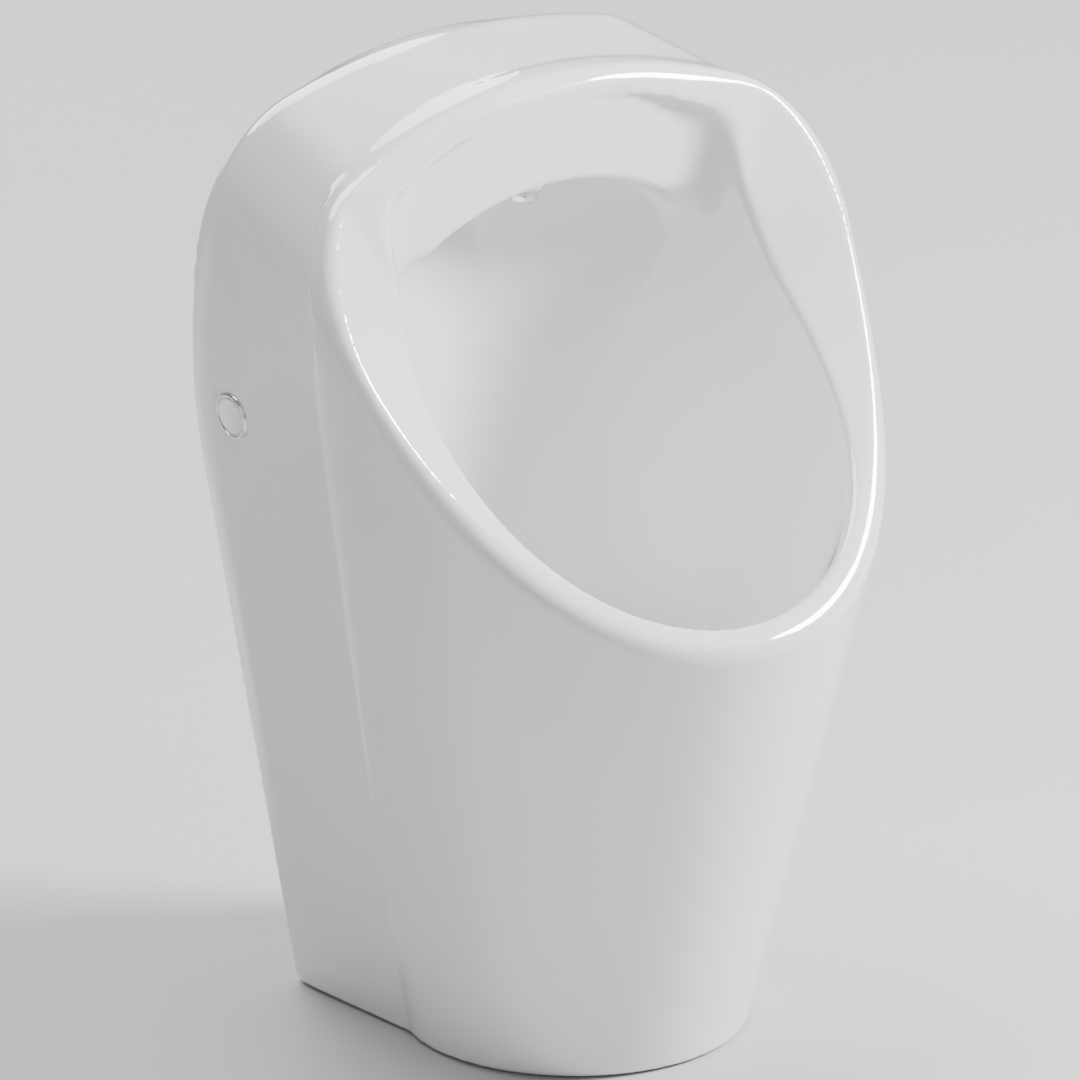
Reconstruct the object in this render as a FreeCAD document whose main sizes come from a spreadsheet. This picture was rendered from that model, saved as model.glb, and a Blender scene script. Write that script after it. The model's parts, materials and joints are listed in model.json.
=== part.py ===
# Wall-hung urinal with a concealed trap: glazed body, wall fixings, spray head, drain and outlet.
# Millimetres. +Z is up, +Y points into the wall, the wall is the plane Y = 0 and the user stands at -Y.
# The origin lies on the wall, midway between the two wall studs.
import FreeCAD
import Part
import Sketcher
import os
import re
from math import atan2, cos, hypot, pi, radians, sin, sqrt, tan

Vector = FreeCAD.Vector
Rotation = FreeCAD.Rotation
Placement = FreeCAD.Placement

# Driving dimensions. Heights are measured up from the base, depths out from the wall.
# What belongs to the upper body is measured down from its top, so that it moves with the body's height.
sizes = {
    # glazed body, housing against the wall
    "body_height": 560,
    "base_half_width": 93,
    "rear_half_width": 160,
    "rear_straight_below_top": 223,
    "rear_side_radius": 410,
    "rear_shoulder_radius": 94,
    "rear_crown_radius": 290,
    "bulge_depth": 18,
    "bulge_rise": 3,
    "bulge_base_half_width": 95,
    "bulge_half_width": 166.5,
    "bulge_side_radius": 335,
    "bulge_shoulder_radius": 63,
    "bulge_crown_radius": 630,
    "bulge_fillet": 30,
    "housing_depth": 140,
    "front_half_width": 176.4,
    "front_straight_below_top": 160,
    "front_side_radius": 300,
    "front_shoulder_radius": 72,
    "front_crown_radius": 380,
    "rim_step": 3,
    # glazed body, tapered bowl front
    "nose_base_radius": 100,
    "nose_base_depth": 140,
    "nose_top_half_width": 212,
    "nose_top_reach": 246,
    "nose_top_depth": 158,
    "rim_base_half_width": 160,
    "rim_half_width": 188,
    "rim_straight_below_top": 114,
    "rim_side_radius": 260,
    "rim_shoulder_radius": 74,
    "rim_crown_radius": 380,
    "rim_rise": 1,
    "crease_base_depth": 101,
    "crease_top_depth": 136,
    "crease_top_below_top": 94,
    "rim_back_depth": 119,
    "rim_back_below_top": 54,
    "rim_back_top_depth": 88,
    # glazed body, rim and bowl
    "brow_top_depth": 99,
    "brow_face_depth": 115,
    "brow_drop": 15,
    "rim_mid_depth": 165,
    "rim_mid_below_top": 108,
    "lip_depth": 330,
    "lip_below_top": 288,
    "rim_fillet": 12,
    "mouth_fillet": 4,
    "dish_tilt": 50.4,
    "dish_slope": 20,
    "dish_depth": 180,
    "dish_below_top": 126,
    "dish_half_width": 184,
    "dish_reach_up": 112,
    "dish_reach_down": 176,
    "dish_sink": 40,
    "dish_back_mid_depth": 130,
    "dish_back_mid_below_top": 60,
    "dish_back_low_depth": 160,
    "dish_back_low_below_top": 160,
    "body_wall": 11,
    "bowl_wall": 10,
    "bowl_floor_height": 165,
    "bowl_low_height": 200,
    "bowl_low_radius": 102,
    "bowl_low_depth": 157.5,
    "bowl_high_above_top": 40,
    "bowl_high_half_width": 166,
    "bowl_high_reach": 202,
    "bowl_high_depth": 252,
    "vault_below_top": 63,
    "vault_radius": 172,
    "forehead_depth": 113.5,
    "brow_half_width": 143,
    "brow_straight_below_top": 120,
    "brow_side_radius": 300,
    "brow_shoulder_radius": 62,
    "brow_crown_radius": 230,
    "brow_below_top": 11,
    # side fixings
    "fixing_below_top": 181,
    "fixing_depth": 44,
    "side_hole_radius": 9.2,
    "cap_radius": 14,
    "cap_thickness": 2.4,
    "cap_sink": 1.5,
    "cap_stem_length": 3.3,
    "cap_stem_wall": 1.4,
    "loose_gap": 0.3,
    "snug_gap": 0.1,
    "bush_length": 14.2,
    "bush_wall": 2,
    "bush_flange_radius": 12.5,
    "bush_flange_thickness": 3,
    "bush_pocket_depth": 7.2,
    "side_screw_radius": 4,
    "side_screw_length": 29,
    "side_screw_head_radius": 6.4,
    "side_screw_head_height": 3.8,
    "side_screw_key_radius": 2.9,
    "side_screw_key_depth": 2.4,
    # wall brackets and studs
    "stud_spacing": 224,
    "stud_anchor_radius": 5,
    "stud_radius": 4,
    "stud_in_wall": 65,
    "stud_out": 22,
    "bracket_plate": 5,
    "bracket_tab_offset": 24,
    "bracket_foot_inset": 20,
    "bracket_reach": 61,
    "bracket_half_height": 26,
    "washer_radius": 8.5,
    "washer_thickness": 2,
    "nut_corner_radius": 7.5,
    "nut_thickness": 6.5,
    # water inlet and spray head
    "supply_below_top": 26,
    "supply_pipe_radius": 6,
    "supply_pipe_wall": 1,
    "supply_bend_radius": 11,
    "supply_collar_thickness": 2,
    "inlet_thread_radius": 10.4,
    "inlet_bore_radius": 7,
    "inlet_in_wall": 30,
    "inlet_out": 8,
    "inlet_hex_corner_radius": 14,
    "inlet_hex_thickness": 3.4,
    "inlet_nut_corner_radius": 15,
    "inlet_nut_grip": 4,
    "inlet_nut_lip": 6.5,
    "flat_seal_thickness": 1.5,
    "spray_depth": 93,
    "spray_seat_sink": 1,
    "spray_flange_radius": 13.5,
    "spray_flange_thickness": 3.5,
    "spray_nozzle_radius": 9,
    "spray_nozzle_drop": 8,
    "spray_shank_radius": 7,
    "spray_shank_length": 20,
    "spray_bore_radius": 4.5,
    "spray_face": 2,
    "spray_jet_radius": 0.7,
    "spray_jet_ring": 3.2,
    "spray_jets": 8,
    "spray_nut_corner_radius": 11.6,
    "spray_nut_thickness": 5,
    "spray_washer_radius": 11.4,
    "supply_nut_corner_radius": 11.4,
    "supply_nut_grip": 3,
    "supply_nut_lip": 2.5,
    # drain and trap
    "drain_depth": 150,
    "drain_seat_radius": 46,
    "drain_hole_radius": 33,
    "drain_rim_radius": 43,
    "drain_rim_thickness": 4,
    "drain_recess_radius": 37,
    "drain_recess_depth": 2.5,
    "drain_sleeve_radius": 32,
    "drain_sleeve_wall": 2.5,
    "drain_sleeve_length": 48,
    "upper_gasket_thickness": 1.2,
    "upper_gasket_radius": 41,
    "lower_gasket_thickness": 4,
    "lower_gasket_radius": 44,
    "drain_nut_radius": 47,
    "drain_nut_thickness": 10,
    "drain_nut_notch": 5,
    "drain_nut_notches": 6,
    "trap_body_radius": 40,
    "trap_body_wall": 3,
    "trap_neck_wall": 4.7,
    "trap_neck_length": 18,
    "trap_depth": 78,
    "trap_floor": 4,
    "trap_nut_wall": 6,
    "trap_nut_length": 15,
    "trap_nut_lip": 1.7,
    "trap_seal_thickness": 3,
    "insert_flange_thickness": 2,
    "insert_tube_radius": 27,
    "insert_tube_wall": 2.5,
    "insert_tube_length": 106,
    "insert_ring_depth": 14,
    "insert_ring_section": 1.05,
    "strainer_thickness": 2.5,
    "strainer_crown": 4,
    "strainer_skirt": 8,
    "strainer_skirt_wall": 1.2,
    "strainer_hole_radius": 2.6,
    "strainer_hole_ring": 17,
    "strainer_holes": 14,
    # outlet
    "outlet_height": 86,
    "stub_radius": 22,
    "stub_wall": 2.5,
    "stub_length": 66,
    "outlet_radius": 25,
    "outlet_wall": 3,
    "outlet_in_wall": 50,
    "outlet_stop_radius": 27.5,
    "outlet_stop_width": 3,
    "socket_radius": 27,
    "socket_depth": 24,
    "socket_mouth_depth": 102,
    "outlet_seal_thickness": 3,
    "outlet_nut_wall": 6,
    "outlet_nut_grip": 14,
    "outlet_nut_lip": 3.5,
    "wall_sleeve_wall": 6,
    "wall_sleeve_length": 12,
    "wall_sleeve_flange": 13,
    "wall_sleeve_flange_thickness": 3,
}

# Heights that follow from the body's height
heights = {
    "bowl_high_height": "=body_height + bowl_high_above_top",
}
for alias in sizes:
    if alias.endswith("_below_top"):
        heights[alias.replace("_below_top", "_height")] = "=body_height - " + alias

doc = FreeCAD.newDocument("urinal")
sheet = doc.addObject("Spreadsheet::Sheet", "Sizes")
for row, (alias, value) in enumerate({**sizes, **heights}.items(), start=1):
    sheet.set(f"A{row}", alias)
    sheet.set(f"B{row}", str(value))
    sheet.setAlias(f"B{row}", alias)
doc.recompute()

nodes = []
upright = Rotation()
into_wall = Rotation(Vector(1, 0, 0), -90)


def mm(alias):
    return float(sheet.get(alias))


def linked(text):
    # a formula over the sheet's aliases, written as an expression of the document
    return re.sub(r"[a-z]\w*", lambda word: "Sizes." + word.group(), text)


def bind(item, formulas):
    for setting, text in formulas.items():
        item.setExpression(setting, linked(text))


def place(item, turn, x="0", y="0", z="0"):
    item.Placement = Placement(Vector(), turn)
    bind(item, {"Placement.Base.x": x, "Placement.Base.y": y, "Placement.Base.z": z})
    return item


def rod(name, radius, length):
    item = doc.addObject("Part::Cylinder", name)
    bind(item, {"Radius": radius, "Height": length})
    return item


def hexagon(name, corner_radius, length):
    item = doc.addObject("Part::Prism", name)
    item.Polygon = 6
    bind(item, {"Circumradius": corner_radius, "Height": length})
    return item


def cut(name, base, *tools):
    for step, tool in enumerate(tools, start=1):
        item = doc.addObject("Part::Cut", name if step == len(tools) else f"{name}_cut{step}")
        item.Base = base
        item.Tool = tool
        base = item
    return base


def fuse(name, *items):
    item = doc.addObject("Part::MultiFuse", name)
    item.Shapes = list(items)
    return item


def group(name, *items):
    item = doc.addObject("Part::Compound", name)
    item.Links = list(items)
    return item


def node(label, item):
    item.Label = label
    nodes.append((label, item))


def origin_plane(body, role):
    return next(plane for plane in body.Origin.OriginFeatures if plane.Role == role)


def outline(body, name, role, corners):
    # a closed outline of straight lines, each corner dimensioned from the sketch's origin
    sketch = body.newObject("Sketcher::SketchObject", name)
    sketch.AttachmentSupport = (origin_plane(body, role), [""])
    sketch.MapMode = "FlatFace"
    count = len(corners)
    for corner in range(count):
        here = Vector(corner, corner ** 2, 0)
        there = Vector(corner + 1, (corner + 1) ** 2, 0)
        sketch.addGeometry(Part.LineSegment(here, there), False)
    for corner in range(count):
        sketch.addConstraint(Sketcher.Constraint("Coincident", (corner - 1) % count, 2, corner, 1))
    for corner, (across, along) in enumerate(corners):
        for kind, text in (("DistanceX", across), ("DistanceY", along)):
            index = sketch.addConstraint(Sketcher.Constraint(kind, -1, 1, corner, 1, 1.0))
            sketch.setExpression(f"Constraints[{index}]", linked(text))
    return sketch


def turned(label, profile):
    # a turned piece: its half profile, as radius and height, goes once round the Z axis
    body = doc.addObject("PartDesign::Body", label)
    sketch = outline(body, label + "_profile", "XZ_Plane", profile)
    spin = body.newObject("PartDesign::Revolution", label + "_turn")
    spin.Profile = sketch
    spin.ReferenceAxis = (sketch, ["V_Axis"])
    spin.Angle = 360
    return body


def ring(label, inner, outer, low, high):
    return turned(label, [(inner, low), (outer, low), (outer, high), (inner, high)])


def drilled_round(body, label, radius, ring_radius, count):
    # round holes through a turned body, repeated about its axis
    sketch = body.newObject("Sketcher::SketchObject", label + "_circle")
    sketch.AttachmentSupport = (origin_plane(body, "XY_Plane"), [""])
    sketch.MapMode = "FlatFace"
    sketch.addGeometry(Part.Circle(Vector(mm(ring_radius), 0, 0), Vector(0, 0, 1), mm(radius)), False)
    sketch.addConstraint(Sketcher.Constraint("PointOnObject", 0, 3, -1))
    for kind, text in (("Radius", radius), ("DistanceX", ring_radius)):
        item = (kind, 0, 1.0) if kind == "Radius" else (kind, -1, 1, 0, 3, 1.0)
        index = sketch.addConstraint(Sketcher.Constraint(*item))
        sketch.setExpression(f"Constraints[{index}]", linked(text))
    doc.recompute()
    pocket = body.newObject("PartDesign::Pocket", label + "_hole")
    pocket.Profile = sketch
    pocket.Type = "ThroughAll"
    pocket.Midplane = True
    doc.recompute()
    pattern = body.newObject("PartDesign::PolarPattern", label + "_holes")
    pattern.Originals = [pocket]
    pattern.Axis = (sketch, ["N_Axis"])
    pattern.Angle = 360
    bind(pattern, {"Occurrences": count})
    body.Tip = pattern
    return body


# Glazed body
def arch(base_half, half, straight, side_radius, shoulder_radius, crown_radius, top, foot, y):
    # tapered sides that run through a side arc, a shoulder arc and a crown arc, all tangent
    lean = atan2(half - base_half, straight)
    foot_half = base_half + (half - base_half) * foot / straight
    side_x = half - side_radius * cos(lean)
    side_z = straight + side_radius * sin(lean)
    crown_z = top - crown_radius
    side_reach = side_radius - shoulder_radius
    crown_reach = crown_radius - shoulder_radius
    apart = hypot(side_x, crown_z - side_z)
    along = (side_reach ** 2 - crown_reach ** 2 + apart ** 2) / (2 * apart)
    aside = sqrt(side_reach ** 2 - along ** 2)
    to_crown_x = -side_x / apart
    to_crown_z = (crown_z - side_z) / apart
    shoulder_x = side_x + along * to_crown_x - aside * to_crown_z
    shoulder_z = side_z + along * to_crown_z + aside * to_crown_x
    if shoulder_x < 0:
        shoulder_x = side_x + along * to_crown_x + aside * to_crown_z
        shoulder_z = side_z + along * to_crown_z - aside * to_crown_x
    side_end = atan2(shoulder_z - side_z, shoulder_x - side_x)
    shoulder_end = atan2(shoulder_z - crown_z, shoulder_x)

    def point(x, z, radius=0.0, angle=0.0, side=1):
        return Vector(side * (x + radius * cos(angle)), y, z + radius * sin(angle))

    edges = [Part.LineSegment(point(foot_half, foot, side=-1), point(foot_half, foot))]
    runs = {}
    for side in (1, -1):
        start = point(half, straight, side=side)
        side_mid = point(side_x, side_z, side_radius, (side_end - lean) / 2, side)
        shoulder = point(side_x, side_z, side_radius, side_end, side)
        shoulder_mid = point(shoulder_x, shoulder_z, shoulder_radius, (side_end + shoulder_end) / 2, side)
        crown = point(0, crown_z, crown_radius, shoulder_end, side)
        runs[side] = crown
        edges.append(Part.LineSegment(point(foot_half, foot, side=side), start))
        edges.append(Part.Arc(start, side_mid, shoulder))
        edges.append(Part.Arc(shoulder, shoulder_mid, crown))
    edges.append(Part.Arc(runs[1], Vector(0, y, top), runs[-1]))
    return Part.Wire(Part.__sortEdges__([edge.toShape() for edge in edges]))


def oval(half_width, reach, depth, z):
    # an oval ring in plan that starts and ends on its side towards the wall
    stretch = FreeCAD.Matrix()
    stretch.rotateZ(pi / 2)
    stretch.scale(half_width, reach, 1)
    stretch.move(Vector(0, -depth, z))
    return Part.Wire(Part.makeCircle(1).transformGeometry(stretch).Edges)


beyond = 400.0  # how far the cutting forms run past the body


def across(corners):
    # a form with one side profile, given as depth and height, from left to right
    edges = []
    for here, there in zip(corners, corners[1:] + corners[:1]):
        ends = [Vector(-beyond, -depth, height) for depth, height in (here[:2], there[:2])]
        if len(there) == 4:
            middle = Vector(-beyond, -there[2], there[3])
            edges.append(Part.Arc(ends[0], middle, ends[1]).toShape())
        else:
            edges.append(Part.LineSegment(*ends).toShape())
    return Part.Face(Part.Wire(edges)).extrude(Vector(2 * beyond, 0, 0))


def middle(edge):
    return edge.valueAt((edge.FirstParameter + edge.LastParameter) / 2)


def along_wall(wire):
    return Part.Face(wire).extrude(Vector(0, -2 * beyond, 0))


def housing_form(inset):
    # an arch on the wall, a wider one just ahead of it and the front arch, with the ridge between rounded off
    top = mm("body_height") - inset
    rear = arch(mm("base_half_width") - inset, mm("rear_half_width") - inset, mm("rear_straight_height"),
                mm("rear_side_radius") - inset, mm("rear_shoulder_radius") - inset,
                mm("rear_crown_radius") - inset, top, inset, 0.0)
    bulge = arch(mm("bulge_base_half_width") - inset, mm("bulge_half_width") - inset,
                 mm("rear_straight_height"), mm("bulge_side_radius") - inset,
                 mm("bulge_shoulder_radius") - inset, mm("bulge_crown_radius") - inset,
                 top + mm("bulge_rise"), inset, -mm("bulge_depth"))
    front = arch(mm("base_half_width") - inset, mm("front_half_width") - inset, mm("front_straight_height"),
                 mm("front_side_radius") - inset, mm("front_shoulder_radius") - inset,
                 mm("front_crown_radius") - inset, top - mm("rim_step"), inset, -mm("housing_depth"))
    form = Part.makeLoft([rear, bulge, front], True, True)
    ridge = [edge for edge in form.Edges
             if abs(middle(edge).y + mm("bulge_depth")) < 0.01 and edge.BoundBox.ZLength > 0.01]
    return form.makeFillet(mm("bulge_fillet"), ridge)


def nose_form(inset):
    low = oval(mm("nose_base_radius") - inset, mm("nose_base_radius") - inset, mm("nose_base_depth"), inset)
    top = mm("body_height") + mm("rim_fillet")
    high = oval(mm("nose_top_half_width") - inset, mm("nose_top_reach") - inset, mm("nose_top_depth"), top)
    outside = along_wall(arch(mm("rim_base_half_width") - inset, mm("rim_half_width") - inset,
                              mm("rim_straight_height"), mm("rim_side_radius") - inset,
                              mm("rim_shoulder_radius") - inset, mm("rim_crown_radius") - inset,
                              mm("body_height") + mm("rim_rise") - inset, -inset, 0.0))
    return Part.makeLoft([low, high], True, True).common(outside)


def ahead_of_crease(forward):
    top = mm("body_height")
    back = mm("rim_back_top_depth") + forward
    return across([(mm("crease_base_depth") + forward, -1), (2 * beyond, -1), (2 * beyond, top + beyond),
                   (back, top + beyond), (back, top), (mm("rim_back_depth") + forward, mm("rim_back_height")),
                   (mm("crease_top_depth") + forward, mm("crease_top_height"))])


def rim_profile(back, down):
    # the rim's side profile: a convex brow, then one long hollow curve down to the lip
    top = mm("body_height") - down
    brow = mm("brow_top_depth") - back
    face = mm("brow_face_depth") - back
    bulge = brow + 0.7 * (face - brow)
    drop = mm("brow_drop")
    return across([(brow, top + 2), (face, top - drop, bulge, top - 0.27 * drop),
                   (mm("lip_depth") - back, mm("lip_height") - down,
                    mm("rim_mid_depth") - back, mm("rim_mid_height") - down),
                   (2 * beyond, mm("lip_height") - down), (2 * beyond, top + beyond), (brow, top + beyond)])


def basin_form(growth):
    low = oval(mm("bowl_low_radius") + growth, mm("bowl_low_radius") + growth,
               mm("bowl_low_depth"), mm("bowl_low_height"))
    high = oval(mm("bowl_high_half_width") + growth, mm("bowl_high_reach") + growth,
                mm("bowl_high_depth"), mm("bowl_high_height"))
    seat = oval(mm("drain_seat_radius") + growth, mm("drain_seat_radius") + growth,
                mm("drain_depth"), mm("bowl_floor_height") - growth)
    return Part.makeLoft([low, high], True, True).fuse(Part.makeLoft([seat, low], True, True))


def dish_form(down):
    # an egg-shaped funnel across the slanted mouth, whose sides are the band inside the rim's crest
    spread = 1 / tan(radians(mm("dish_slope")))
    tilt = FreeCAD.Matrix()
    tilt.rotateX(radians(mm("dish_tilt")))
    tilt.move(Vector(0, -mm("dish_depth"), mm("dish_height") - down))

    def egg(rise):
        halves = []
        for reach, side in ((mm("dish_reach_up"), 1), (mm("dish_reach_down"), -1)):
            stretch = FreeCAD.Matrix()
            stretch.scale(mm("dish_half_width") + rise * spread, side * (reach + rise * spread), 1)
            stretch.move(Vector(0, 0, rise))
            half = Part.Arc(Vector(1, 0, 0), Vector(0, 1, 0), Vector(-1, 0, 0)).toShape()
            halves.append(half.transformGeometry(stretch))
        return Part.Wire(Part.__sortEdges__(halves))

    funnel = Part.makeLoft([egg(-mm("dish_sink")), egg(mm("dish_sink"))], True, True)
    top = mm("brow_face_depth") - down
    low = mm("dish_back_low_depth") - down
    ahead = across([(top, mm("brow_height")),
                    (low, mm("dish_back_low_height"),
                     mm("dish_back_mid_depth") - down, mm("dish_back_mid_height")),
                    (low, 0), (2 * beyond, 0), (2 * beyond, 2 * beyond), (top, 2 * beyond)])
    return funnel.transformGeometry(tilt).common(ahead)


def bowl_form(growth):
    # the basin under a vault, with a taller arched mouth ahead of the forehead
    axis_height = mm("vault_height") - mm("vault_radius")
    vault = Part.makeCylinder(mm("vault_radius") + growth, beyond,
                              Vector(0, 0, axis_height), Vector(0, -1, 0))
    below = across([(0, 0), (beyond, 0), (beyond, axis_height), (0, axis_height)])
    face = mm("forehead_depth") - growth
    ahead = across([(face, 0), (2 * beyond, 0), (2 * beyond, 2 * beyond), (face, 2 * beyond)])
    brow = along_wall(arch(mm("brow_half_width") + growth, mm("brow_half_width") + growth,
                           mm("brow_straight_height"), mm("brow_side_radius") + growth,
                           mm("brow_shoulder_radius") + growth, mm("brow_crown_radius") + growth,
                           mm("brow_height") + growth, 0.0, 0.0))
    return basin_form(growth).common(vault.fuse(below).fuse(ahead.common(brow)))


def edges_on(solid, *forms):
    # the sloping edges of a solid that run along the surface of every given form
    chosen = []
    for edge in solid.Edges:
        spot = Part.Vertex(middle(edge))
        apart = max(spot.distToShape(Part.Shell(form.Faces))[0] for form in forms)
        if apart < 0.01 and edge.BoundBox.ZLength > 0.01:
            chosen.append(edge)
    return chosen


def glazed_body(side_frames):
    wall = mm("body_wall")
    rim = rim_profile(0.0, 0.0)
    nose = nose_form(0.0).common(ahead_of_crease(0.0))
    solid = housing_form(0.0).fuse(nose).cut(rim).removeSplitter().Solids[0]
    solid = solid.makeFillet(mm("rim_fillet"), edges_on(solid, rim))
    dish = dish_form(0.0)
    basin = basin_form(0.0)
    solid = solid.cut(dish).cut(bowl_form(0.0)).Solids[0]
    solid = solid.makeFillet(mm("mouth_fillet"), edges_on(solid, dish, basin) + edges_on(solid, rim, basin))
    core = housing_form(wall).fuse(nose_form(wall).common(ahead_of_crease(wall)))
    core = core.cut(rim_profile(wall, wall)).cut(dish_form(wall)).cut(bowl_form(mm("bowl_wall")))
    solid = solid.cut(core)
    drain = Part.makeCylinder(mm("drain_hole_radius"), mm("bowl_floor_height"),
                              Vector(0, -mm("drain_depth"), mm("bowl_floor_height") / 2))
    spray_hole = Part.makeCylinder(mm("spray_shank_radius") + mm("loose_gap"), 2 * mm("bowl_wall"),
                                   Vector(0, -mm("spray_depth"), mm("vault_height") - mm("bowl_wall") / 2))
    spray_seat = Part.makeCylinder(mm("spray_flange_radius") + 1, mm("bowl_wall"),
                                   Vector(0, -mm("spray_depth"),
                                          mm("vault_height") - mm("bowl_wall") + mm("spray_seat_sink")))
    washer_seat = Part.makeCylinder(mm("spray_washer_radius") + 1, mm("bowl_wall"),
                                    Vector(0, -mm("spray_depth"),
                                           mm("vault_height") + mm("bowl_wall") - mm("spray_seat_sink")))
    holes = [drain, spray_hole, spray_seat, washer_seat]
    for frame in side_frames:
        holes.append(Part.makeCylinder(mm("side_hole_radius"), 3 * wall, Vector(0, 0, -2 * wall)))
        seat = Part.makeCylinder(mm("cap_radius") + mm("loose_gap"), wall,
                                 Vector(0, 0, -mm("cap_sink") - mm("loose_gap")))
        holes.append(seat)
        for hole in holes[-2:]:
            hole.Placement = frame.multiply(hole.Placement)
    return solid.cut(holes)


def side_frame(side):
    # the outer face of the housing's side where a fixing goes in: local Z points out of it
    depth = mm("fixing_depth")
    height = mm("fixing_height")
    probe = Part.makeLine(Vector(0, -depth, height), Vector(beyond, -depth, height))
    shell = housing_form(0.0)
    reach = probe.common(shell).BoundBox.XMax
    spot = Vector(reach, -depth, height)
    face = min(shell.Faces, key=lambda item: item.distToShape(Part.Vertex(spot))[0])
    outward = face.normalAt(*face.Surface.parameter(spot))
    spot.x *= side
    outward.x *= side
    return Placement(spot, Rotation(Vector(0, 0, 1), outward))


lowered = Placement(Vector(0, 0, -mm("fixing_height")), upright)
right_side = side_frame(1)
left_side = side_frame(-1)
body = doc.addObject("Part::Feature", "ceramic_body")
body.Shape = glazed_body([right_side, left_side])
body.Placement = lowered
node("ceramic_body", body)


# Side fixings: a bush in the side hole, a locking screw through it and a push-in cover cap
seat_level = "-(cap_sink + loose_gap)"
pocket_level = "-(cap_sink + loose_gap + bush_pocket_depth)"
bush_end = "-(cap_sink + loose_gap + bush_length)"
bush_radius = "(side_hole_radius - snug_gap)"
pocket_radius = "(side_hole_radius - snug_gap - bush_wall)"


def side_bush(name):
    flange_top = bush_end + " + bush_flange_thickness"
    bore = "side_screw_radius + snug_gap"
    return turned(name, [
        (bore, bush_end), ("bush_flange_radius", bush_end), ("bush_flange_radius", flange_top),
        (bush_radius, flange_top), (bush_radius, seat_level), (pocket_radius, seat_level),
        (pocket_radius, pocket_level), (bore, pocket_level)])


def side_screw(name):
    head_top = pocket_level + " + side_screw_head_height"
    tip = pocket_level + " - side_screw_length"
    shape = turned(name + "_blank", [
        ("0", tip), ("side_screw_radius - 1", tip), ("side_screw_radius", tip + " + 1"),
        ("side_screw_radius", pocket_level), ("side_screw_head_radius", pocket_level),
        ("side_screw_head_radius", head_top), ("0", head_top)])
    key = hexagon(name + "_key", "side_screw_key_radius", "side_screw_key_depth")
    place(key, upright, z=head_top + " - side_screw_key_depth")
    return cut(name, shape, key)


def side_cap(name):
    under = "-cap_sink"
    top = "cap_thickness - cap_sink"
    stem = pocket_radius + " - loose_gap"
    hollow = pocket_radius + " - loose_gap - cap_stem_wall"
    stem_end = "-cap_sink - cap_stem_length"
    return turned(name, [
        ("0", under), (hollow, under), (hollow, stem_end), (stem, stem_end), (stem, under),
        ("cap_radius", under), ("cap_radius", top + " - 0.4 * cap_thickness"),
        ("cap_radius - 0.4 * cap_thickness", top), ("0", top)])


for name, frame in (("right", right_side), ("left", left_side)):
    for label, maker in (("side_bush_", side_bush), ("side_screw_", side_screw), ("side_cap_", side_cap)):
        piece = maker(label + name)
        piece.Placement = lowered.multiply(frame)
        node(label + name, piece)


# Wall brackets: bent plates on studs, each with a tapped tab behind a side hole
def wall_bracket(name, frame):
    plate = doc.addObject("PartDesign::Body", name + "_plate")
    foot = "stud_spacing / 2 - bracket_foot_inset"
    tab = "stud_spacing / 2 + bracket_tab_offset"
    profile = outline(plate, name + "_profile", "XY_Plane", [
        (foot, "0"), (tab + " + bracket_plate", "0"), (tab + " + bracket_plate", "-bracket_reach"),
        (tab, "-bracket_reach"), (tab, "-bracket_plate"), (foot, "-bracket_plate")])
    pad = plate.newObject("PartDesign::Pad", name + "_pad")
    pad.Profile = profile
    pad.Midplane = True
    bind(pad, {"Length": "2 * bracket_half_height"})
    stud_hole = rod(name + "_stud_hole", "stud_radius + snug_gap", "2 * bracket_plate")
    place(stud_hole, into_wall, x="stud_spacing / 2", y="-1.5 * bracket_plate")
    tapped = rod(name + "_tapped_hole", "side_screw_radius + snug_gap", "2 * stud_spacing")
    tapped.Placement = lowered.multiply(frame)
    tapped.Placement = tapped.Placement.multiply(Placement(Vector(0, 0, -mm("stud_spacing") / 2), upright))
    return cut(name, plate, stud_hole, tapped)


right_bracket = wall_bracket("wall_bracket_right", right_side)
node("wall_bracket_right", right_bracket)
left_bracket = doc.addObject("Part::Mirroring", "wall_bracket_left")
left_bracket.Source = right_bracket
left_bracket.Normal = Vector(1, 0, 0)
node("wall_bracket_left", left_bracket)

studs = []
washers = []
nuts = []
for name, across_x in (("right", "stud_spacing / 2"), ("left", "-stud_spacing / 2")):
    stud = turned("stud_" + name, [
        ("0", "-stud_out"), ("stud_radius", "-stud_out"), ("stud_radius", "0"), ("stud_anchor_radius", "0"),
        ("stud_anchor_radius", "stud_in_wall"), ("0", "stud_in_wall")])
    studs.append(place(stud, into_wall, x=across_x))
    washer_face = "-(bracket_plate + washer_thickness)"
    washer = ring("washer_" + name, "stud_radius + snug_gap", "washer_radius", "0", "washer_thickness")
    washers.append(place(washer, into_wall, x=across_x, y=washer_face))
    nut = cut("nut_" + name, hexagon("nut_blank_" + name, "nut_corner_radius", "nut_thickness"),
              rod("nut_thread_" + name, "stud_radius + snug_gap", "nut_thickness"))
    nuts.append(place(nut, into_wall, x=across_x, y=washer_face + " - nut_thickness"))
node("wall_studs", group("wall_studs", *studs))
node("wall_washers", group("wall_washers", *washers))
node("wall_nuts", group("wall_nuts", *nuts))


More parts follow.
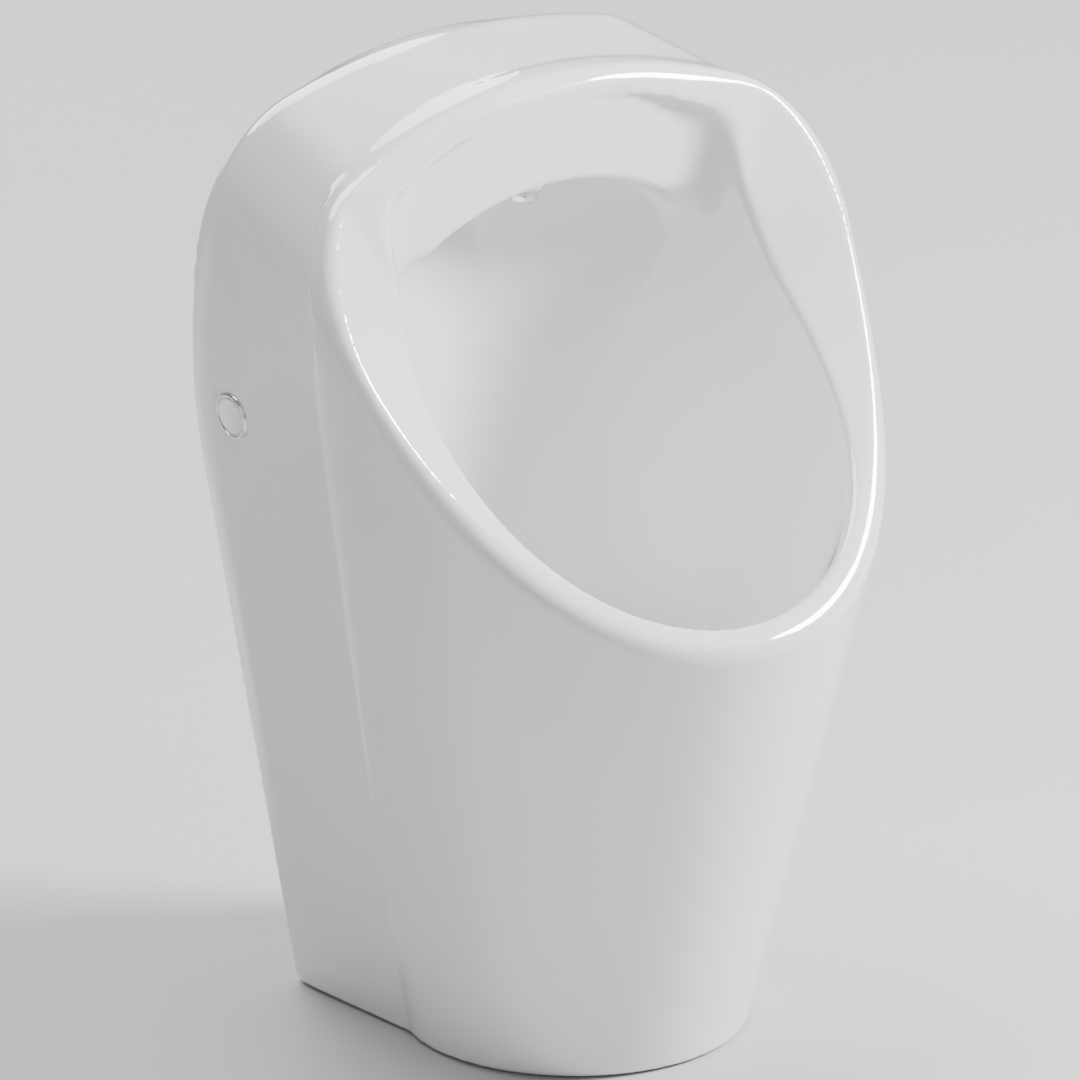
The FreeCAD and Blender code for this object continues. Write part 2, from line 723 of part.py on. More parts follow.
# Water inlet: a threaded nipple in the wall, a union nut and the supply pipe to the spray head
inlet_height = "supply_height - fixing_height"
collar_end = "-(inlet_out + flat_seal_thickness)"
collar_face = "-(inlet_out + flat_seal_thickness + supply_collar_thickness)"
nipple_hexagon = place(hexagon("inlet_hexagon", "inlet_hex_corner_radius", "inlet_hex_thickness"), upright,
                       z="-inlet_hex_thickness")
nipple_thread = ring("inlet_thread", "0", "inlet_thread_radius", "-inlet_out", "inlet_in_wall")
nipple_bore = ring("inlet_bore", "0", "inlet_bore_radius", "-inlet_out", "inlet_in_wall")
nipple = cut("inlet_nipple", fuse("inlet_nipple_blank", nipple_hexagon, nipple_thread), nipple_bore)
node("inlet_nipple", place(nipple, into_wall, z=inlet_height))
inlet_seal = ring("inlet_seal", "supply_pipe_radius", "inlet_thread_radius - snug_gap",
                  collar_end, "-inlet_out")
node("inlet_seal", place(inlet_seal, into_wall, z=inlet_height))


def cap_nut(name, corner_radius, thread_radius, pipe_radius, low, shoulder, high, lip_low):
    # a hexagon bored for its thread on one side of the shoulder and for the pipe on the other
    wide, narrow = ((shoulder, high), (low, shoulder)) if lip_low else ((low, shoulder), (shoulder, high))
    blank = place(hexagon(name + "_blank", corner_radius, f"{high} - ({low})"), upright, z=low)
    thread = ring(name + "_thread", "0", thread_radius, *wide)
    passage = ring(name + "_passage", "0", pipe_radius, *narrow)
    return cut(name, blank, thread, passage)


inlet_nut = cap_nut("inlet_nut", "inlet_nut_corner_radius", "inlet_thread_radius + snug_gap",
                    "supply_pipe_radius + snug_gap", collar_face + " - inlet_nut_lip", collar_face,
                    "inlet_nut_grip - inlet_out", True)
node("inlet_nut", place(inlet_nut, into_wall, z=inlet_height))

leg_foot = "(vault_height + spray_seat_sink + spray_shank_length + flat_seal_thickness)"


def supply_line(name, radius, collars):
    bend = doc.addObject("Part::Torus", name + "_bend")
    bend.Angle3 = 90
    bind(bend, {"Radius1": "supply_bend_radius", "Radius2": radius})
    place(bend, Rotation(Vector(0, -1, 0), Vector(0, 0, 1), Vector(-1, 0, 0), "XYZ"),
          y="supply_bend_radius - spray_depth", z=inlet_height + " - supply_bend_radius")
    run = rod(name + "_run", radius, f"{collar_end} + spray_depth - supply_bend_radius")
    place(run, into_wall, y="supply_bend_radius - spray_depth", z=inlet_height)
    leg = rod(name + "_leg", radius, f"supply_height - supply_bend_radius - {leg_foot}")
    place(leg, upright, y="-spray_depth", z=f"{leg_foot} - fixing_height")
    pieces = [run, leg, bend]
    if collars:
        wall_collar = rod(name + "_wall_collar", "inlet_thread_radius - snug_gap", "supply_collar_thickness")
        pieces.append(place(wall_collar, into_wall, y=collar_face, z=inlet_height))
        spray_collar = rod(name + "_spray_collar", "spray_shank_radius - snug_gap", "supply_collar_thickness")
        pieces.append(place(spray_collar, upright, y="-spray_depth", z=f"{leg_foot} - fixing_height"))
    return fuse(name, *pieces)


node("supply_pipe", cut("supply_pipe", supply_line("supply_outside", "supply_pipe_radius", True),
                        supply_line("supply_bore", "supply_pipe_radius - supply_pipe_wall", False)))


# Spray head: hangs under the vault, clamped through the glazed body and joined to the supply pipe
def at_spray(piece):
    return place(piece, upright, y="-spray_depth", z="vault_height + spray_seat_sink - fixing_height")


nozzle_top = "-(flat_seal_thickness + spray_flange_thickness)"
nozzle_end = "-(flat_seal_thickness + spray_flange_thickness + spray_nozzle_drop)"
spray_head = turned("spray_head", [
    ("0", nozzle_end), ("spray_nozzle_radius", nozzle_end), ("spray_flange_radius", nozzle_top),
    ("spray_flange_radius", "-flat_seal_thickness"), ("spray_shank_radius", "-flat_seal_thickness"),
    ("spray_shank_radius", "spray_shank_length"), ("spray_bore_radius", "spray_shank_length"),
    ("spray_bore_radius", nozzle_end + " + spray_face"), ("0", nozzle_end + " + spray_face")])
drilled_round(spray_head, "spray_jet", "spray_jet_radius", "spray_jet_ring", "spray_jets")
node("spray_head", at_spray(spray_head))
node("spray_gasket", at_spray(ring("spray_gasket", "spray_shank_radius + snug_gap", "spray_flange_radius - 1",
                                   "-flat_seal_thickness", "0")))
washer_foot = "bowl_wall - 2 * spray_seat_sink"
washer_top = "bowl_wall - 2 * spray_seat_sink + flat_seal_thickness"
node("spray_washer", at_spray(ring("spray_washer", "spray_shank_radius + snug_gap", "spray_washer_radius",
                                   washer_foot, washer_top)))
spray_nut = cut("spray_locknut",
                hexagon("spray_locknut_blank", "spray_nut_corner_radius", "spray_nut_thickness"),
                rod("spray_locknut_thread", "spray_shank_radius + snug_gap", "spray_nut_thickness"))
node("spray_locknut", place(spray_nut, upright, y="-spray_depth",
                            z=f"vault_height + spray_seat_sink - fixing_height + {washer_top}"))
node("supply_seal", at_spray(ring("supply_seal", "spray_bore_radius", "spray_shank_radius - snug_gap",
                                  "spray_shank_length", "spray_shank_length + flat_seal_thickness")))
nut_shoulder = "spray_shank_length + flat_seal_thickness + supply_collar_thickness"
node("supply_nut", at_spray(cap_nut("supply_nut", "supply_nut_corner_radius",
                                    "spray_shank_radius + snug_gap", "supply_pipe_radius + 2 * loose_gap",
                                    "spray_shank_length - supply_nut_grip",
                                    nut_shoulder, nut_shoulder + " + supply_nut_lip", False)))


# Drain: flange and gaskets in the bowl's floor, trap below it, lift-out insert and strainer inside
def at_drain(piece):
    return place(piece, upright, y="-drain_depth", z="bowl_floor_height - fixing_height")


rim_top = "(upper_gasket_thickness + drain_rim_thickness)"
recess_floor = "(upper_gasket_thickness + drain_rim_thickness - drain_recess_depth)"
sleeve_bore = "(drain_sleeve_radius - drain_sleeve_wall)"
sleeve_end = "(upper_gasket_thickness - drain_sleeve_length)"
sleeve_clear = "drain_sleeve_radius + snug_gap"
node("drain_upper_gasket", at_drain(ring("drain_upper_gasket", "drain_hole_radius", "upper_gasket_radius",
                                         "0", "upper_gasket_thickness")))
node("drain_flange", at_drain(turned("drain_flange", [
    (sleeve_bore, sleeve_end), ("drain_sleeve_radius", sleeve_end),
    ("drain_sleeve_radius", "upper_gasket_thickness"), ("drain_rim_radius", "upper_gasket_thickness"),
    ("drain_rim_radius", rim_top + " - 0.4 * drain_rim_thickness"),
    ("drain_rim_radius - 0.4 * drain_rim_thickness", rim_top), ("drain_recess_radius", rim_top),
    ("drain_recess_radius", recess_floor), (sleeve_bore, recess_floor)])))
gasket_end = "-(bowl_wall + lower_gasket_thickness)"
locknut_end = "-(bowl_wall + lower_gasket_thickness + drain_nut_thickness)"
node("drain_lower_gasket", at_drain(ring("drain_lower_gasket", sleeve_clear, "lower_gasket_radius",
                                         gasket_end, "-bowl_wall")))
locknut = ring("drain_locknut", sleeve_clear, "drain_nut_radius", locknut_end, gasket_end)
drilled_round(locknut, "locknut_notch", "drain_nut_notch", "drain_nut_radius", "drain_nut_notches")
node("drain_locknut", at_drain(locknut))

lip_end = f"({locknut_end} - trap_nut_lip)"
neck_top = f"({locknut_end} - trap_nut_lip - trap_seal_thickness)"
neck_end = f"({locknut_end} - trap_nut_lip - trap_seal_thickness - trap_neck_length)"
neck_bore = "(drain_sleeve_radius + loose_gap)"
neck_radius = "(drain_sleeve_radius + loose_gap + trap_neck_wall)"
trap_inside = "(trap_body_radius - trap_body_wall)"
trap_end = f"({neck_end} - trap_depth)"
node("trap_seal", at_drain(ring("trap_seal", sleeve_clear, neck_radius, neck_top, lip_end)))
nut_bore = neck_radius + " + snug_gap"
nut_radius = neck_radius + " + snug_gap + trap_nut_wall"
skirt_end = f"{neck_top} - trap_nut_length"
node("trap_nut", at_drain(turned("trap_nut", [
    (nut_bore, skirt_end), (nut_radius, skirt_end), (nut_radius, locknut_end), (neck_bore, locknut_end),
    (neck_bore, lip_end), (nut_bore, lip_end)])))
trap_shell = at_drain(turned("trap_shell", [
    ("0", trap_end), ("trap_body_radius", trap_end), ("trap_body_radius", neck_end), (neck_radius, neck_end),
    (neck_radius, neck_top), (neck_bore, neck_top), (neck_bore, neck_end + " - trap_body_wall"),
    (trap_inside, neck_end + " - trap_body_wall"), (trap_inside, trap_end + " + trap_floor"),
    ("0", trap_end + " + trap_floor")]))
trap_core = at_drain(ring("trap_core", "0", trap_inside, trap_end + " + trap_floor",
                          neck_end + " - trap_body_wall"))
stub = place(rod("trap_stub", "stub_radius", "stub_length"), into_wall, y="-drain_depth",
             z="outlet_height - fixing_height")
stub_bore = place(rod("trap_stub_bore", "stub_radius - stub_wall", "stub_length"), into_wall,
                  y="-drain_depth", z="outlet_height - fixing_height")
node("trap_housing", cut("trap_housing", fuse("trap_with_stub", trap_shell, stub), trap_core, stub_bore))

insert_foot = f"({recess_floor} + loose_gap)"
insert_top = f"({recess_floor} + loose_gap + insert_flange_thickness)"
insert_bore = "(insert_tube_radius - insert_tube_wall)"
insert_end = f"{insert_foot} - insert_tube_length"
flange_edge = "drain_recess_radius - loose_gap"
node("trap_insert", at_drain(turned("trap_insert", [
    (insert_bore, insert_end), ("insert_tube_radius", insert_end), ("insert_tube_radius", insert_foot),
    (flange_edge, insert_foot), (flange_edge, insert_top), (insert_bore, insert_top)])))
insert_ring = doc.addObject("Part::Torus", "insert_o_ring")
bind(insert_ring, {"Radius1": "insert_tube_radius + insert_ring_section", "Radius2": "insert_ring_section"})
node("insert_o_ring", place(insert_ring, upright, y="-drain_depth",
                            z=f"bowl_floor_height - fixing_height + {insert_foot} - insert_ring_depth"))

strainer_foot = f"({insert_top} + loose_gap)"
skirt_radius = f"{insert_bore} - loose_gap"
skirt_bore = f"{insert_bore} - loose_gap - strainer_skirt_wall"
strainer = turned("strainer", [
    ("0", f"{strainer_foot} + strainer_crown"), (skirt_bore, strainer_foot),
    (skirt_bore, f"{strainer_foot} - strainer_skirt"), (skirt_radius, f"{strainer_foot} - strainer_skirt"),
    (skirt_radius, strainer_foot), (flange_edge, strainer_foot),
    (flange_edge, f"{strainer_foot} + 0.5 * strainer_thickness"),
    (skirt_radius, f"{strainer_foot} + strainer_thickness"),
    ("0", f"{strainer_foot} + strainer_crown + strainer_thickness")])
drilled_round(strainer, "strainer", "strainer_hole_radius", "strainer_hole_ring", "strainer_holes")
node("strainer", at_drain(strainer))


# Outlet: slip joint over the trap's stub and a pipe into the wall
def at_outlet(piece):
    return place(piece, into_wall, z="outlet_height - fixing_height")


socket_bore = "stub_radius + snug_gap"
socket_end = "(socket_depth - socket_mouth_depth)"
pipe_bore = "(outlet_radius - outlet_wall)"
node("outlet_pipe", at_outlet(turned("outlet_pipe", [
    (socket_bore, "-socket_mouth_depth"), ("socket_radius", "-socket_mouth_depth"),
    ("socket_radius", socket_end), ("outlet_radius", socket_end + " + socket_radius - outlet_radius"),
    ("outlet_radius", "-outlet_stop_width"), ("outlet_stop_radius", "-outlet_stop_width"),
    ("outlet_stop_radius", "0"), ("outlet_radius", "0"),
    ("outlet_radius", "outlet_in_wall"), (pipe_bore, "outlet_in_wall"), (pipe_bore, socket_end),
    (socket_bore, socket_end)])))
seal_face = "-(socket_mouth_depth + outlet_seal_thickness)"
node("outlet_seal", at_outlet(ring("outlet_seal", socket_bore, "socket_radius",
                                   seal_face, "-socket_mouth_depth")))
grip_bore = "socket_radius + snug_gap"
grip_radius = "socket_radius + snug_gap + outlet_nut_wall"
grip_end = "outlet_nut_grip - socket_mouth_depth"
node("outlet_nut", at_outlet(turned("outlet_nut", [
    (socket_bore, seal_face + " - outlet_nut_lip"), (grip_radius, seal_face + " - outlet_nut_lip"),
    (grip_radius, grip_end), (grip_bore, grip_end), (grip_bore, seal_face), (socket_bore, seal_face)])))
sleeve_hole = "outlet_radius + snug_gap"
node("outlet_wall_sleeve", at_outlet(turned("outlet_wall_sleeve", [
    (sleeve_hole, "-wall_sleeve_length"), ("outlet_radius + wall_sleeve_wall", "-wall_sleeve_length"),
    ("outlet_radius + wall_sleeve_wall", "-wall_sleeve_flange_thickness"),
    ("outlet_radius + wall_sleeve_flange", "-wall_sleeve_flange_thickness"),
    ("outlet_radius + wall_sleeve_flange", "0"), ("outlet_stop_radius + snug_gap", "0"),
    ("outlet_stop_radius + snug_gap", "-(outlet_stop_width + snug_gap)"),
    (sleeve_hole, "-(outlet_stop_width + snug_gap)")])))

doc.recompute()
failed = [item.Name for item in doc.Objects if {"Invalid", "Error"} & set(item.State)]
failed += [label for label, item in nodes if item.Shape.isNull() or not item.Shape.isValid()]
if failed:
    raise RuntimeError("not built: " + ", ".join(failed))

os.makedirs("parts", exist_ok=True)
for label, item in nodes:
    item.Shape.exportStep(f"parts/{label}.step")
    print(label, len(item.Shape.Solids), round(item.Shape.Volume / 1000, 2), "cm3")
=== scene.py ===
import json
import math
import bmesh
import bpy
from mathutils import Matrix, Vector

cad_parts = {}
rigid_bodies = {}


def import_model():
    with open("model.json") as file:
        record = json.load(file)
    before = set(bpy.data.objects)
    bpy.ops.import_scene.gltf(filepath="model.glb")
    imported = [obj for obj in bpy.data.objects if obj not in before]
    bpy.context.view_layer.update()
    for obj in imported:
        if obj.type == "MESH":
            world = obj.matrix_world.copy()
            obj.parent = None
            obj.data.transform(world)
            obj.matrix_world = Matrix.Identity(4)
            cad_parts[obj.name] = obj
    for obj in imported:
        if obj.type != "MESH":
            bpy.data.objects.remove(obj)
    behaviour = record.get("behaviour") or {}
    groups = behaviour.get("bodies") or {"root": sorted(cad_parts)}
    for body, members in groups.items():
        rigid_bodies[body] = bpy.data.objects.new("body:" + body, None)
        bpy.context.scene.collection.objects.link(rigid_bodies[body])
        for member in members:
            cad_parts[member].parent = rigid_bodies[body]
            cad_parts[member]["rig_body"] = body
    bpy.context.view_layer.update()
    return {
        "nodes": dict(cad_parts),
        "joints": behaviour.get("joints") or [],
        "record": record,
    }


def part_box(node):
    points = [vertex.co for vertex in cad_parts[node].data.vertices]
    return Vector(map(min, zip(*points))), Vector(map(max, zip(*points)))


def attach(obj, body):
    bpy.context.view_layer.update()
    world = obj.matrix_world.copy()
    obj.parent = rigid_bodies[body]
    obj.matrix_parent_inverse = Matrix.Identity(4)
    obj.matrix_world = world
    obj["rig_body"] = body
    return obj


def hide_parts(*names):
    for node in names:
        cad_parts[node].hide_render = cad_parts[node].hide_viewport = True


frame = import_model()
millimetre = 0.001
bodyLow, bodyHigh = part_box("ceramic_body")
print("frame loaded,", len(frame["nodes"]), "nodes")


# Shader maths: a signal is one socket of a node tree, and sums of signals add Math nodes
class Signal:
    def __init__(self, tree, socket=None):
        self.tree = tree
        self.socket = socket

    def node(self, kind, settings=None, inputs=None, output=0):
        made = self.tree.nodes.new("ShaderNode" + kind)
        for name, value in (settings or {}).items():
            setattr(made, name, value)
        for name, value in (inputs or {}).items():
            if isinstance(value, Signal):
                self.tree.links.new(value.socket, made.inputs[name])
            else:
                made.inputs[name].default_value = value
        return Signal(self.tree, made.outputs[output])

    def maths(self, operation, *values):
        return self.node("Math", {"operation": operation}, dict(enumerate(values)))

    def blend(self, first, second):  # self is the share of the second colour; colours are sockets 6 and 7
        return self.node("Mix", {"data_type": "RGBA"}, {0: self, 6: first, 7: second}, 2)

    def part(self, axis):  # one coordinate of a vector
        return self.node("SeparateXYZ", None, {0: self}, axis)

    def step(self, low, high):  # 0 below low, 1 above high, smooth between
        return self.node("MapRange", {"interpolation_type": "SMOOTHSTEP"}, {0: self, 1: low, 2: high})

    def __add__(self, other):
        return self.maths("ADD", self, other)

    def __sub__(self, other):
        return self.maths("SUBTRACT", self, other)

    def __rsub__(self, other):
        return self.maths("SUBTRACT", other, self)

    def __mul__(self, other):
        return self.maths("MULTIPLY", self, other)

    __radd__ = __add__
    __rmul__ = __mul__


def colour(red, green, blue):
    return (red, green, blue, 1.0)


class Finish:
    # a new material with its shader, and the patterns that finishes share; sizes are in metres
    def __init__(self, name):
        self.material = bpy.data.materials.new(name)
        self.material.use_nodes = True
        self.shader = self.material.node_tree.nodes["Principled BSDF"]
        self.start = Signal(self.material.node_tree)
        self.place = self.start.node("TexCoord", output="Object")  # the part's own frame

    def noise(self, size, detail=3.0, stretch=(1, 1, 1)):
        where = self.start.node("Mapping", None, {"Vector": self.place, "Scale": stretch})
        return self.start.node("TexNoise", None, {"Vector": where, "Scale": 1 / size, "Detail": detail})

    def cells(self, spread, output):
        return self.start.node("TexVoronoi", None, {"Vector": self.place, "Scale": 1 / spread}, output)

    def specks(self, size, spread, middle=0.3):  # round spots, 1 over that share of their size
        return 1 - self.cells(spread, "Distance").step(middle * size / spread, size / spread)

    def relief(self, height, depth, strength=1.0, under=None):
        inputs = {"Height": height, "Distance": depth, "Strength": strength}
        if under:
            inputs["Normal"] = under
        return self.start.node("Bump", None, inputs)

    def set(self, values):
        for name, value in values.items():
            socket = self.shader.inputs[name]
            if isinstance(value, Signal):
                self.material.node_tree.links.new(value.socket, socket)
            else:
                socket.default_value = value
        return self.material


glaze = {
    "white": colour(0.90, 0.90, 0.885),
    "cool": colour(0.86, 0.875, 0.875),
    # darker, warmer edge colour: partly glaze running thin, partly painted shade that makes the edges stand
    # out
    "edge": colour(0.79, 0.77, 0.72),
    "biscuit": colour(0.70, 0.64, 0.54),
    "paleBiscuit": colour(0.78, 0.73, 0.64),
    "toneSize": 0.12,
    "toneSteps": (0.35, 0.65),
    "thinGlazeAndShadeSteps": (0.52, 0.62),  # pointiness where the glaze runs thin, and where painted shade darkens the edges
    "thinGlazeAndShadeShare": 0.5,
    "speckSize": 0.0004,
    "speckSpread": 0.035,
    "speckShare": 0.25,
    "peelSize": 0.009,  # width of the glaze's slow waves
    "peelDepth": 0.00012,
    "peelStrength": 0.35,
    "smearSize": 0.05,
    "smearRough": 0.05,
    "rough": 0.06,
    "bare": 0.0012,  # unglazed band on the rear edge and the underside
    "fullyBare": 0.3,  # share of the band with no glaze at all
    "bareRough": 0.7,
    "grainSize": 0.0008,
    "grainDepth": 0.0003,
    "coatRough": 0.03,
    "refraction": 1.52,
}


def glazedCeramic():
    finish = Finish("glazed ceramic")
    tone = finish.noise(glaze["toneSize"], detail=2.0).step(*glaze["toneSteps"])
    edge = finish.start.node("NewGeometry", output="Pointiness").step(*glaze["thinGlazeAndShadeSteps"])
    band = glaze["bare"]
    bald = glaze["fullyBare"] * band
    rear = finish.place.part(1).step(bodyHigh.y - band, bodyHigh.y - bald)
    foot = 1 - finish.place.part(2).step(bodyLow.z + bald, bodyLow.z + band)
    bare = rear.maths("MAXIMUM", rear, foot)
    specks = finish.specks(glaze["speckSize"], glaze["speckSpread"]) * glaze["speckShare"]
    white = tone.blend(glaze["white"], glaze["cool"])
    # edges darkened by pointiness: part glaze running thin, part painted shade
    white = (edge * glaze["thinGlazeAndShadeShare"]).blend(white, glaze["edge"])
    white = specks.blend(white, glaze["biscuit"])
    grain = finish.noise(glaze["grainSize"], detail=2.0)
    biscuit = grain.blend(glaze["biscuit"], glaze["paleBiscuit"])
    slick = finish.noise(glaze["smearSize"], detail=4.0) * glaze["smearRough"] + glaze["rough"]
    peel = finish.noise(glaze["peelSize"], detail=1.0)
    waves = finish.relief(peel, glaze["peelDepth"], glaze["peelStrength"])
    normal = finish.relief(grain * bare, glaze["grainDepth"], under=waves)
    return finish.set({
        "Base Color": bare.blend(white, biscuit),
        "Roughness": slick + bare * glaze["bareRough"],
        "Coat Weight": 1 - bare,
        "Coat Roughness": glaze["coatRough"],
        "IOR": glaze["refraction"],
        "Normal": normal,
    })


chrome = {
    "dull": colour(0.74, 0.75, 0.77),
    "bright": colour(0.84, 0.84, 0.85),
    "smearSize": 0.012,
    "smearRough": 0.1,
    "spotSize": 0.0009,  # dried drops
    "spotSpread": 0.007,
    "spotRough": 0.12,
    "rough": 0.03,
    "rippleSize": 0.0015,
    "rippleDepth": 0.00002,
    "rippleStrength": 0.3,
}


def polishedChrome():
    finish = Finish("polished chrome")
    smear = finish.noise(chrome["smearSize"], detail=4.0)
    spots = finish.specks(chrome["spotSize"], chrome["spotSpread"])
    ripple = finish.noise(chrome["rippleSize"], detail=2.0)
    rough = smear * chrome["smearRough"] + spots * chrome["spotRough"] + chrome["rough"]
    tone = smear.blend(chrome["dull"], chrome["bright"])
    normal = finish.relief(ripple, chrome["rippleDepth"], chrome["rippleStrength"])
    return finish.set({"Base Color": tone, "Metallic": 1.0, "Roughness": rough, "Normal": normal})


steel = {
    "dull": colour(0.52, 0.53, 0.55),
    "bright": colour(0.66, 0.66, 0.65),
    "flake": colour(0.74, 0.75, 0.78),
    "flakeSpread": 1 / 900,
    "flakeShare": 0.35,
    "flakeRough": 0.12,
    "cloudSize": 0.02,
    "cloudSteps": (0.3, 0.7),
    "cloudRough": 0.2,
    "rough": 0.22,
    "grainSize": 0.0006,
    "grainDepth": 0.00006,
    "grainStrength": 0.5,
}


def platedSteel():
    finish = Finish("plated steel")
    flakes = finish.cells(steel["flakeSpread"], "Color").part(0)
    cloud = finish.noise(steel["cloudSize"], detail=4.0)
    tone = cloud.step(*steel["cloudSteps"]).blend(steel["dull"], steel["bright"])
    tone = (flakes * steel["flakeShare"]).blend(tone, steel["flake"])
    grain = finish.noise(steel["grainSize"], detail=3.0)
    rough = cloud * steel["cloudRough"] + flakes * steel["flakeRough"] + steel["rough"]
    normal = finish.relief(grain, steel["grainDepth"], steel["grainStrength"])
    return finish.set({"Base Color": tone, "Metallic": 1.0, "Roughness": rough, "Normal": normal})


brass = {
    "bright": colour(0.73, 0.55, 0.26),
    "tarnished": colour(0.45, 0.32, 0.14),
    "tarnishSize": 0.009,
    "tarnishSteps": (0.42, 0.7),
    "tarnishRough": 0.25,
    "rough": 0.2,
    "markSize": 0.0012,  # marks of the turning tool
    "markStretch": (1, 6, 1),
    "markRough": 0.1,
    "markDepth": 0.00004,
    "markStrength": 0.5,
}


def machinedBrass():
    finish = Finish("machined brass")
    tarnish = finish.noise(brass["tarnishSize"], detail=5.0).step(*brass["tarnishSteps"])
    marks = finish.noise(brass["markSize"], detail=2.0, stretch=brass["markStretch"])
    rough = tarnish * brass["tarnishRough"] + marks * brass["markRough"] + brass["rough"]
    tone = tarnish.blend(brass["bright"], brass["tarnished"])
    normal = finish.relief(marks, brass["markDepth"], brass["markStrength"])
    return finish.set({"Base Color": tone, "Metallic": 1.0, "Roughness": rough, "Normal": normal})


rubber = {
    "black": colour(0.018, 0.018, 0.019),
    "bloom": colour(0.06, 0.058, 0.055),
    "bloomSize": 0.006,
    "bloomSteps": (0.45, 0.8),
    "bloomShare": 0.6,
    "bloomRough": 0.15,
    "rough": 0.55,
    "grainSize": 0.0005,
    "grainRough": 0.1,
    "grainDepth": 0.00015,
    "grainStrength": 0.6,
}


def blackRubber():
    finish = Finish("black rubber")
    bloom = finish.noise(rubber["bloomSize"], detail=5.0).step(*rubber["bloomSteps"])
    grain = finish.noise(rubber["grainSize"], detail=2.0)
    tone = (bloom * rubber["bloomShare"]).blend(rubber["black"], rubber["bloom"])
    rough = bloom * rubber["bloomRough"] + grain * rubber["grainRough"] + rubber["rough"]
    normal = finish.relief(grain, rubber["grainDepth"], rubber["grainStrength"])
    return finish.set({"Base Color": tone, "Roughness": rough, "Normal": normal})


moulding = {
    "flowSize": 0.03,
    "flowStretch": (1, 1, 0.3),
    "flowSteps": (0.3, 0.7),
    "scuffSize": 0.004,
    "scuffStretch": (1, 0.15, 1),
    "scuffSteps": (0.62, 0.75),
    "scuffRough": 0.15,
    "grainRough": 0.1,
    "grainDepth": 0.0001,
    "grainStrength": 0.4,
}
plastics = {  # name, lighter and darker tone, roughness, size of the mould's texture
    "nylon": ("natural nylon", colour(0.74, 0.72, 0.65), colour(0.68, 0.66, 0.58), 0.4, 0.0009),
    "trap_plastic": ("white moulding", colour(0.78, 0.78, 0.77), colour(0.74, 0.74, 0.73), 0.22, 0.0015),
    "insert_plastic": ("blue-grey moulding", colour(0.18, 0.24, 0.31), colour(0.15, 0.2, 0.27), 0.38, 0.0008),
    "pipe_plastic": ("grey pipe", colour(0.27, 0.28, 0.29), colour(0.23, 0.24, 0.25), 0.33, 0.001),
}


def mouldedPlastic(name, light, dark, rough, texture):
    finish = Finish(name)
    flow = finish.noise(moulding["flowSize"], detail=3.0, stretch=moulding["flowStretch"])
    grain = finish.noise(texture, detail=2.0)
    scuffs = finish.noise(moulding["scuffSize"], detail=6.0, stretch=moulding["scuffStretch"])
    scuffs = scuffs.step(*moulding["scuffSteps"])
    tone = flow.step(*moulding["flowSteps"]).blend(light, dark)
    rubbed = grain * moulding["grainRough"] + scuffs * moulding["scuffRough"] + rough
    normal = finish.relief(grain, moulding["grainDepth"], moulding["grainStrength"])
    return finish.set({"Base Color": tone, "Roughness": rubbed, "Normal": normal})


finishes = {slot: mouldedPlastic(*look) for slot, look in plastics.items()}
finishes["ceramic"] = glazedCeramic()
finishes["chrome"] = polishedChrome()
finishes["steel"] = platedSteel()
finishes["brass"] = machinedBrass()
finishes["rubber"] = blackRubber()
slotOf = {row["node"]: row["material_slot"] for row in frame["record"]["subparts"]}
for name, piece in frame["nodes"].items():
    piece.data.materials.clear()
    piece.data.materials.append(finishes[slotOf[name]])
print("finishes assigned,", len(finishes))


bodyOf = {name: piece["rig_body"] for name, piece in frame["nodes"].items()}
intoWall = Vector((0, 1, 0))
upward = Vector((0, 0, 1))


def addObject(name, data):
    made = bpy.data.objects.new(name, data)
    bpy.context.scene.collection.objects.link(made)
    return made


def fit(name, mesh, node):
    # a new piece that stands for a CAD node and takes its body and finish
    mesh.materials.clear()
    mesh.materials.append(finishes[slotOf[node]])
    piece = addObject(name, mesh)
    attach(piece, bodyOf[node])
    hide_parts(node)
    print(name, len(mesh.polygons), "faces")
    return piece


# Softened pieces: a CAD node remeshed in small voxels, so that its edges round off
softened = {  # node, voxel in mm, rounds of smoothing
    "glazed_skin": ("ceramic_body", 2.0, 12),
    "trap_bottle": ("trap_housing", 0.9, 5),
    "drain_grate": ("strainer", 0.5, 4),
    "bracket_right": ("wall_bracket_right", 0.7, 5),
    "bracket_left": ("wall_bracket_left", 0.7, 5),
}
meltShare = 0.5  # how far a point goes towards its neighbours in one round


def melt(piece, rounds, group=""):
    smooth = piece.modifiers.new("melt", "SMOOTH")
    smooth.factor = meltShare
    smooth.iterations = rounds
    smooth.vertex_group = group


def applied(piece):  # the mesh that its modifiers give
    bpy.context.view_layer.update()
    return bpy.data.meshes.new_from_object(piece.evaluated_get(bpy.context.evaluated_depsgraph_get()))


def soften(name, node, voxel, rounds):
    blank = addObject(name, frame["nodes"][node].data.copy())
    remesh = blank.modifiers.new("even", "REMESH")
    remesh.mode = "VOXEL"
    remesh.voxel_size = voxel * millimetre
    remesh.use_smooth_shade = True
    melt(blank, rounds)
    mesh = applied(blank)
    bpy.data.objects.remove(blank)
    mesh.name = name
    return fit(name, mesh, node)


softPieces = {name: soften(name, *values) for name, values in softened.items()}


browEnds = {  # in mm: an upright line at each end of the forehead, and how far the easing reaches from it
    "across": 113.0,
    "depth": 111.0,
    "low": 52.0,
    "high": 124.0,
    "reach": 29.0,
    "rounds": 320,
}


